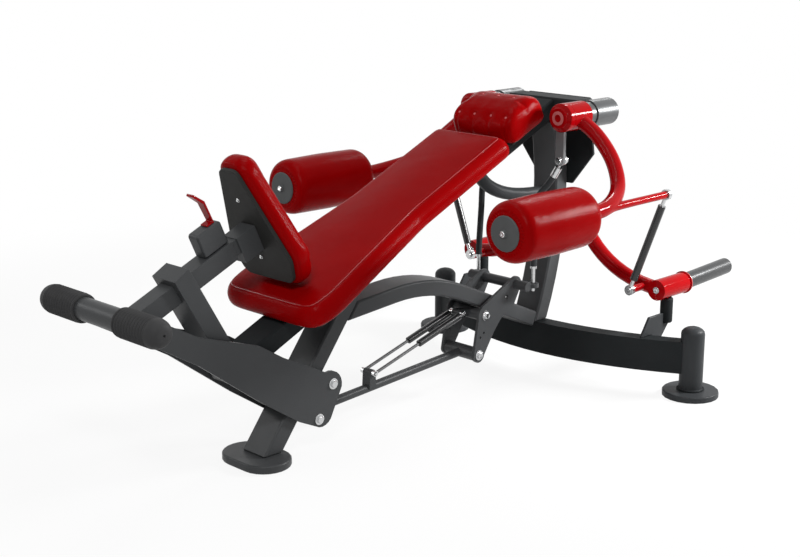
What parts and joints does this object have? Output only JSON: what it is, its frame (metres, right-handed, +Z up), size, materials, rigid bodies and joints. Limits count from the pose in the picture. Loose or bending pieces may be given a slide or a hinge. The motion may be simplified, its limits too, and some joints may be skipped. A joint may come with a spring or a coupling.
{
  "type": "plate loaded incline fly machine",
  "caption": "Incline chest fly machine with padded roller arms, weight horns on linked levers, a sliding seat and a foot lever that helps the arms start.",
  "frame": {"origin": "centre of the bounding box at floor level", "axes": "+X towards the head end, -X towards the foot bar, +Y the far side, +Z up"},
  "size_m": [2.2596, 1.2578, 0.948],
  "materials": {
    "anthracite": "satin powder coat",
    "red_paint": "gloss",
    "red_vinyl": "gloss vinyl",
    "dark_board": "matte",
    "gunmetal": "satin",
    "chrome": "polished",
    "rubber": "matte",
    "grey_plate": "satin",
    "black_gloss": "gloss",
    "cap_grey": "satin"
  },
  "bodies": {
    "frame": {"front_foot": "anthracite", "near_rear_post": "anthracite", "far_rear_post": "anthracite", "rear_beam": "anthracite", "front_leg": "anthracite", "spine": "anthracite", "upright": "anthracite", "pad_beam": "anthracite", "seat_post": "anthracite", "seat_rail": "anthracite", "latch_housing": "anthracite", "hub_crossmember": "anthracite", "hub_gusset": "anthracite", "near_housing": "gunmetal", "far_housing": "gunmetal", "brace": "anthracite", "weight_pivot_mount": "anthracite", "near_bumper_bracket": "anthracite", "near_bumper": "rubber", "far_bumper_bracket": "anthracite", "far_bumper": "rubber", "lever_pivot_bracket": "anthracite", "bellcrank_pivot_tube": "anthracite", "back_board": "dark_board", "back_pad": "red_vinyl", "head_board": "dark_board", "head_pad": "red_vinyl"},
    "seat": {"seat_stem": "anthracite", "seat_board": "dark_board", "seat_pad": "red_vinyl"},
    "release_lever": {"release_lever": "red_paint"},
    "foot_lever": {"foot_lever": "anthracite", "near_grip": "rubber", "far_grip": "rubber"},
    "push_rod": {"push_rod": "anthracite"},
    "bellcrank": {"bellcrank": "anthracite"},
    "near_arm": {"near_arm": "red_paint"},
    "near_roller": {"near_roller": "red_vinyl", "near_roller_cap": "cap_grey"},
    "near_crank": {"near_crank_hub": "red_paint", "near_crank": "grey_plate"},
    "near_crank_rod": {"near_crank_rod": "anthracite"},
    "near_weight_lever": {"near_weight_lever": "red_paint", "near_horn": "gunmetal"},
    "near_link": {"near_link": "black_gloss"},
    "near_spring_body": {"near_spring_body": "black_gloss"},
    "near_spring_rod": {"near_spring_rod": "chrome"},
    "far_arm": {"far_arm": "red_paint"},
    "far_roller": {"far_roller": "red_vinyl", "far_roller_cap": "cap_grey"},
    "far_crank": {"far_crank_hub": "red_paint", "far_crank": "grey_plate"},
    "far_crank_rod": {"far_crank_rod": "anthracite"},
    "far_weight_lever": {"far_weight_lever": "red_paint", "far_horn": "gunmetal"},
    "far_link": {"far_link": "black_gloss"},
    "far_spring_body": {"far_spring_body": "black_gloss"},
    "far_spring_rod": {"far_spring_rod": "chrome"}
  },
  "joints": [
    {"name": "foot_lever_turn", "type": "hinge", "parent": "frame", "child": "foot_lever", "pos_m": [-0.38285, 0, 0.193], "axis": [0, -1, 0], "range_deg": [0, 16], "stiffness_Nm_per_rad": 70, "springref_deg": -57.3},
    {"name": "push_rod_turn", "type": "hinge", "parent": "foot_lever", "child": "push_rod", "pos_m": [-0.43785, 0, 0.099], "axis": [0, -1, 0], "range_deg": [-15.4, 0]},
    {"name": "bellcrank_turn", "type": "hinge", "parent": "frame", "child": "bellcrank", "pos_m": [0.27015, 0, 0.264], "axis": [0, -1, 0], "range_deg": [0, 12.4]},
    {"name": "near_arm_turn", "type": "hinge", "parent": "frame", "child": "near_arm", "pos_m": [0.49415, -0.1885, 0.883], "axis": [-1, 0, 0], "range_deg": [0, 55]},
    {"name": "near_roller_turn", "type": "hinge", "parent": "near_arm", "child": "near_roller", "pos_m": [0.06415, -0.467, 0.652], "axis": [1, 0, 0], "continuous": true},
    {"name": "near_weight_lever_turn", "type": "hinge", "parent": "frame", "child": "near_weight_lever", "pos_m": [0.73415, -0.0665, 0.554], "axis": [-1, 0, 0], "range_deg": [0, 55]},
    {"name": "near_link_turn", "type": "hinge", "parent": "near_weight_lever", "child": "near_link", "pos_m": [0.65615, -0.345, 0.326], "axis": [-1, 0, 0], "range_deg": [-55, 0]},
    {"name": "near_crank_turn", "type": "hinge", "parent": "frame", "child": "near_crank", "pos_m": [0.47665, -0.1885, 0.883], "axis": [-1, 0, 0], "range_deg": [0, 20.9]},
    {"name": "near_crank_rod_turn", "type": "hinge", "parent": "near_crank", "child": "near_crank_rod", "pos_m": [0.49015, -0.1885, 0.749], "axis": [0.9907, 0.0573, 0.1231], "range_deg": [0, 28.6]},
    {"name": "near_spring_body_turn", "type": "hinge", "parent": "frame", "child": "near_spring_body", "pos_m": [0.21615, -0.023, 0.271], "axis": [0, -1, 0], "range_deg": [0, 2.4]},
    {"name": "near_spring_slide", "type": "slide", "parent": "near_spring_body", "child": "near_spring_rod", "axis": [0.9637, 0, 0.2669], "range_m": [0, 0.0236]},
    {"name": "far_arm_turn", "type": "hinge", "parent": "frame", "child": "far_arm", "pos_m": [0.49415, 0.1885, 0.883], "axis": [1, 0, 0], "range_deg": [0, 55]},
    {"name": "far_roller_turn", "type": "hinge", "parent": "far_arm", "child": "far_roller", "pos_m": [0.06415, 0.467, 0.652], "axis": [1, 0, 0], "continuous": true},
    {"name": "far_weight_lever_turn", "type": "hinge", "parent": "frame", "child": "far_weight_lever", "pos_m": [0.73415, 0.0665, 0.554], "axis": [1, 0, 0], "range_deg": [0, 55]},
    {"name": "far_link_turn", "type": "hinge", "parent": "far_weight_lever", "child": "far_link", "pos_m": [0.65615, 0.345, 0.326], "axis": [1, 0, 0], "range_deg": [-55, 0]},
    {"name": "far_crank_turn", "type": "hinge", "parent": "frame", "child": "far_crank", "pos_m": [0.47665, 0.1885, 0.883], "axis": [1, 0, 0], "range_deg": [0, 20.9]},
    {"name": "far_crank_rod_turn", "type": "hinge", "parent": "far_crank", "child": "far_crank_rod", "pos_m": [0.49015, 0.1885, 0.749], "axis": [-0.9907, 0.0573, -0.1231], "range_deg": [0, 28.6]},
    {"name": "far_spring_body_turn", "type": "hinge", "parent": "frame", "child": "far_spring_body", "pos_m": [0.21615, 0.023, 0.271], "axis": [0, -1, 0], "range_deg": [0, 2.4]},
    {"name": "far_spring_slide", "type": "slide", "parent": "far_spring_body", "child": "far_spring_rod", "axis": [0.9637, 0, 0.2669], "range_m": [0, 0.0236]},
    {"name": "seat_slide", "type": "slide", "parent": "frame", "child": "seat", "axis": [0.9135, 0, 0.4067], "range_m": [0, 0.1]},
    {"name": "release_lever_turn", "type": "hinge", "parent": "frame", "child": "release_lever", "pos_m": [-0.76967, 0, 0.70269], "axis": [0, -1, 0], "range_deg": [0, 15], "stiffness_Nm_per_rad": 0.6, "springref_deg": -20.05}
  ],
  "couplings": [
    {"joint": "push_rod_turn", "follows": "foot_lever_turn", "ratio": -0.95646},
    {"joint": "bellcrank_turn", "follows": "foot_lever_turn", "ratio": 0.76654},
    {"joint": "near_weight_lever_turn", "follows": "near_arm_turn", "ratio": 1},
    {"joint": "near_link_turn", "follows": "near_arm_turn", "ratio": -1},
    {"joint": "near_crank_turn", "follows": "foot_lever_turn", "ratio": 1.3},
    {"joint": "near_crank_rod_turn", "follows": "foot_lever_turn", "ratio": 1.7811},
    {"joint": "near_spring_body_turn", "follows": "foot_lever_turn", "ratio": 0.14753},
    {"joint": "near_spring_slide", "follows": "foot_lever_turn", "m_per_rad": 0.083586},
    {"joint": "far_weight_lever_turn", "follows": "far_arm_turn", "ratio": 1},
    {"joint": "far_link_turn", "follows": "far_arm_turn", "ratio": -1},
    {"joint": "far_crank_turn", "follows": "foot_lever_turn", "ratio": 1.3},
    {"joint": "far_crank_rod_turn", "follows": "foot_lever_turn", "ratio": 1.7811},
    {"joint": "far_spring_body_turn", "follows": "foot_lever_turn", "ratio": 0.14753},
    {"joint": "far_spring_slide", "follows": "foot_lever_turn", "m_per_rad": 0.083586}
  ]
}
